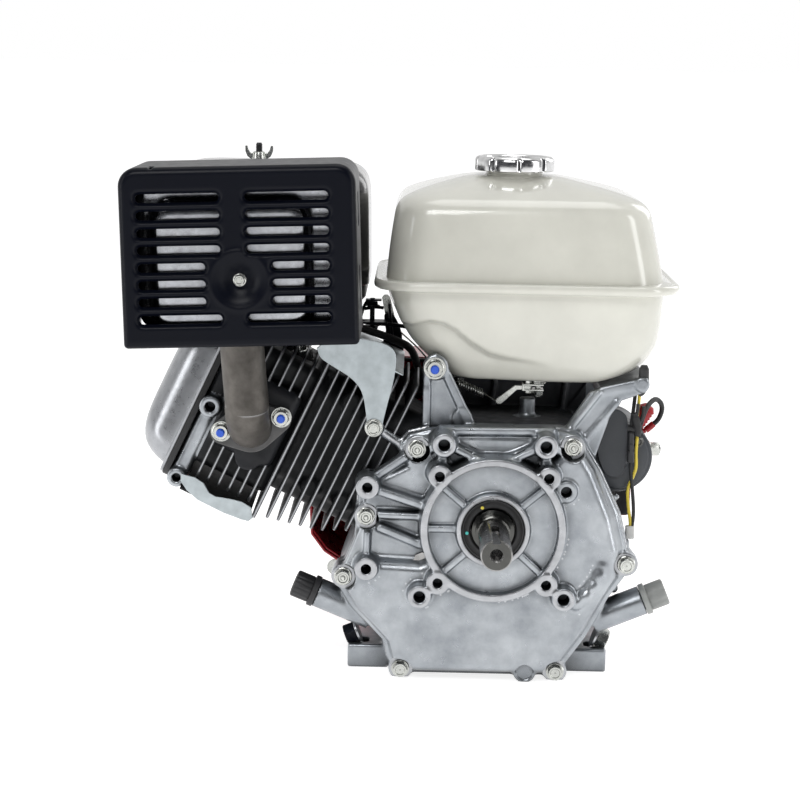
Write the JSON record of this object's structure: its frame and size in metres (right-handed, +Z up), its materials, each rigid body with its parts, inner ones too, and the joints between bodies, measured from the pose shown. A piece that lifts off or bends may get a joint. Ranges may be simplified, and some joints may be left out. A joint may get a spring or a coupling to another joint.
{
  "type": "single-cylinder petrol engine",
  "caption": "Air-cooled single-cylinder horizontal-shaft petrol engine with tank, air cleaner, guarded muffler, and recoil and electric starters.",
  "frame": {"origin": "on the base's flat underside, straight below the crankshaft's axis and midway between the front and rear mounting slots", "axes": "+Z up, away from the base; -Y out along the drive shaft; +X towards the electric starter, away from the cylinder head"},
  "size_m": [0.4592, 0.406, 0.439],
  "materials": {
    "cast_aluminium": "die-cast aluminium, satin, with machined faces",
    "machined_steel": "turned and ground steel, lightly oiled",
    "zinc_steel": "bright zinc-plated steel",
    "black_fins": "black paint on cast fins, bare at the fin edges",
    "black_paint": "satin black paint on pressed steel",
    "aluminised_steel": "bright aluminised steel",
    "exhaust_steel": "matte heat-darkened steel",
    "plated_sheet": "plated pressed sheet steel",
    "black_plastic": "moulded black plastic",
    "grey_plastic": "moulded grey plastic",
    "gloss_black": "glossy black moulded cover",
    "filter_paper": "pleated filter paper",
    "tank_paint": "gloss off-white paint on pressed steel",
    "cap_chrome": "bright plated pressed cap",
    "red_paint": "gloss red paint on pressed steel",
    "starter_paint": "satin dark grey paint on steel",
    "rubber": "matte black rubber"
  },
  "bodies": {
    "engine_block": {"crankcase": "cast_aluminium", "cylinder": "black_fins", "crankcase_cover": "cast_aluminium", "cover_bolt_1": "zinc_steel", "cover_bolt_2": "zinc_steel", "cover_bolt_3": "zinc_steel", "cover_bolt_4": "zinc_steel", "cover_bolt_5": "zinc_steel", "cover_bolt_6": "zinc_steel", "cover_bolt_7": "zinc_steel", "oil_seal": "rubber", "main_bearing_front": "machined_steel", "main_bearing_rear": "machined_steel", "cylinder_head": "black_fins", "valve_cover": "plated_sheet", "valve_cover_gasket": "rubber", "spark_plug": "machined_steel", "spark_plug_cap": "rubber", "ignition_lead": "rubber", "exhaust_pipe": "exhaust_steel", "muffler_body": "aluminised_steel", "muffler_guard": "black_paint", "air_cleaner_base": "gloss_black", "air_filter_element": "filter_paper", "carburettor": "cast_aluminium", "control_bracket": "black_paint", "fuel_tank": "tank_paint", "air_shroud_upper": "plated_sheet", "air_shroud_lower": "plated_sheet", "governor_spring": "machined_steel", "fan_cover": "red_paint", "recoil_housing": "red_paint", "ignition_coil": "black_plastic", "starter_motor": "starter_paint", "starter_cable": "rubber"},
    "crankshaft": {"crankshaft_front": "machined_steel", "crankshaft_rear": "machined_steel", "flywheel": "cast_aluminium"},
    "camshaft": {"camshaft": "machined_steel"},
    "piston_and_rod": {"piston": "cast_aluminium", "connecting_rod": "cast_aluminium", "crankpin": "machined_steel"},
    "exhaust_rocker": {"exhaust_rocker": "machined_steel"},
    "exhaust_valve": {"exhaust_valve": "machined_steel"},
    "exhaust_pushrod": {"exhaust_pushrod": "machined_steel"},
    "intake_rocker": {"intake_rocker": "machined_steel"},
    "intake_valve": {"intake_valve": "machined_steel"},
    "intake_pushrod": {"intake_pushrod": "machined_steel"},
    "oil_filler_cap": {"oil_filler_cap": "black_plastic"},
    "dipstick": {"dipstick": "grey_plastic"},
    "fuel_cap": {"fuel_cap": "cap_chrome"},
    "air_cleaner_cover": {"air_cleaner_cover": "gloss_black"},
    "wing_nut": {"wing_nut": "zinc_steel"},
    "choke_lever": {"choke_lever": "black_plastic"},
    "throttle_lever": {"throttle_lever": "zinc_steel"},
    "fuel_valve_lever": {"fuel_valve_lever": "black_plastic"},
    "governor_arm": {"governor_arm": "zinc_steel"},
    "engine_switch": {"engine_switch": "black_plastic"},
    "recoil_grip": {"recoil_grip": "black_plastic"},
    "starter_pulley": {"starter_pulley": "grey_plastic"}
  },
  "joints": [
    {"name": "crank_spin", "type": "hinge", "parent": "engine_block", "child": "crankshaft", "pos_m": [0, 0, 0.133], "axis": [0, 1, 0], "continuous": true},
    {"name": "cam_spin", "type": "hinge", "parent": "engine_block", "child": "camshaft", "pos_m": [-0.058, 0, 0.101], "axis": [0, 1, 0], "continuous": true},
    {"name": "piston_stroke", "type": "slide", "parent": "engine_block", "child": "piston_and_rod", "axis": [-0.9063, 0, 0.4226], "range_m": [-0.064, 0]},
    {"name": "exhaust_rocker_pivot", "type": "hinge", "parent": "engine_block", "child": "exhaust_rocker", "pos_m": [-0.26086, -0.036, 0.2243], "axis": [0, 1, 0], "range_deg": [0, 14]},
    {"name": "exhaust_valve_lift", "type": "slide", "parent": "engine_block", "child": "exhaust_valve", "axis": [0.9063, 0, -0.4226], "range_m": [0, 0.0075], "stiffness_N_per_m": 2000, "springref_m": -0.01},
    {"name": "exhaust_pushrod_lift", "type": "slide", "parent": "engine_block", "child": "exhaust_pushrod", "axis": [-0.9063, 0, 0.4226], "range_m": [0, 0.0066]},
    {"name": "intake_rocker_pivot", "type": "hinge", "parent": "engine_block", "child": "intake_rocker", "pos_m": [-0.26086, -0.004, 0.2243], "axis": [0, 1, 0], "range_deg": [0, 14]},
    {"name": "intake_valve_lift", "type": "slide", "parent": "engine_block", "child": "intake_valve", "axis": [0.9063, 0, -0.4226], "range_m": [0, 0.0075], "stiffness_N_per_m": 2000, "springref_m": -0.01},
    {"name": "intake_pushrod_lift", "type": "slide", "parent": "engine_block", "child": "intake_pushrod", "axis": [-0.9063, 0, 0.4226], "range_m": [0, 0.0066]},
    {"name": "filler_cap_turn", "type": "hinge", "parent": "engine_block", "child": "oil_filler_cap", "pos_m": [-0.147, -0.064, 0.064], "axis": [-0.9271, 0, 0.3748], "range_deg": [0, 720]},
    {"name": "dipstick_turn", "type": "hinge", "parent": "engine_block", "child": "dipstick", "pos_m": [0.131, -0.064, 0.063], "axis": [0.9224, 0, 0.3861], "range_deg": [0, 720]},
    {"name": "fuel_cap_turn", "type": "hinge", "parent": "engine_block", "child": "fuel_cap", "pos_m": [0.014, -0.012, 0.43], "axis": [0, 0, 1], "range_deg": [0, 90]},
    {"name": "cleaner_cover_lift", "type": "slide", "parent": "engine_block", "child": "air_cleaner_cover", "axis": [0, 0, 1], "range_m": [0, 0.12]},
    {"name": "wing_nut_turn", "type": "hinge", "parent": "air_cleaner_cover", "child": "wing_nut", "pos_m": [-0.2085, 0.054, 0.43], "axis": [0, 0, 1], "range_deg": [0, 1440]},
    {"name": "choke_turn", "type": "hinge", "parent": "engine_block", "child": "choke_lever", "pos_m": [-0.20258, 0.082, 0.232], "axis": [0, 0, 1], "range_deg": [-35, 0]},
    {"name": "throttle_turn", "type": "hinge", "parent": "engine_block", "child": "throttle_lever", "pos_m": [-0.086, 0.055, 0.271], "axis": [0, 1, 0], "range_deg": [-25, 0]},
    {"name": "fuel_valve_turn", "type": "hinge", "parent": "engine_block", "child": "fuel_valve_lever", "pos_m": [-0.17858, 0.093, 0.17802], "axis": [0, 1, 0], "range_deg": [0, 90]},
    {"name": "governor_turn", "type": "hinge", "parent": "engine_block", "child": "governor_arm", "pos_m": [0.03, -0.024, 0.235], "axis": [0, 0, 1], "range_deg": [-12, 12], "deforming": ["governor_spring"]},
    {"name": "switch_rock", "type": "hinge", "parent": "engine_block", "child": "engine_switch", "pos_m": [0.122, 0.122, 0.13], "axis": [1, 0, 0], "range_deg": [0, 10]},
    {"name": "grip_pull", "type": "slide", "parent": "engine_block", "child": "recoil_grip", "axis": [-1, 0, 0], "range_m": [0, 0.9], "stiffness_N_per_m": 15, "springref_m": -0.1},
    {"name": "pulley_spin", "type": "hinge", "parent": "engine_block", "child": "starter_pulley", "pos_m": [0, 0.162, 0.133], "axis": [0, 1, 0], "range_deg": [-860, 0]}
  ],
  "couplings": [
    {"joint": "cam_spin", "follows": "crank_spin", "ratio": -0.5},
    {"joint": "exhaust_rocker_pivot", "follows": "exhaust_valve_lift", "rad_per_m": 32.258},
    {"joint": "exhaust_pushrod_lift", "follows": "exhaust_valve_lift", "ratio": 0.8387},
    {"joint": "intake_rocker_pivot", "follows": "intake_valve_lift", "rad_per_m": 32.258},
    {"joint": "intake_pushrod_lift", "follows": "intake_valve_lift", "ratio": 0.8387},
    {"joint": "pulley_spin", "follows": "grip_pull", "rad_per_m": -16.66}
  ]
}
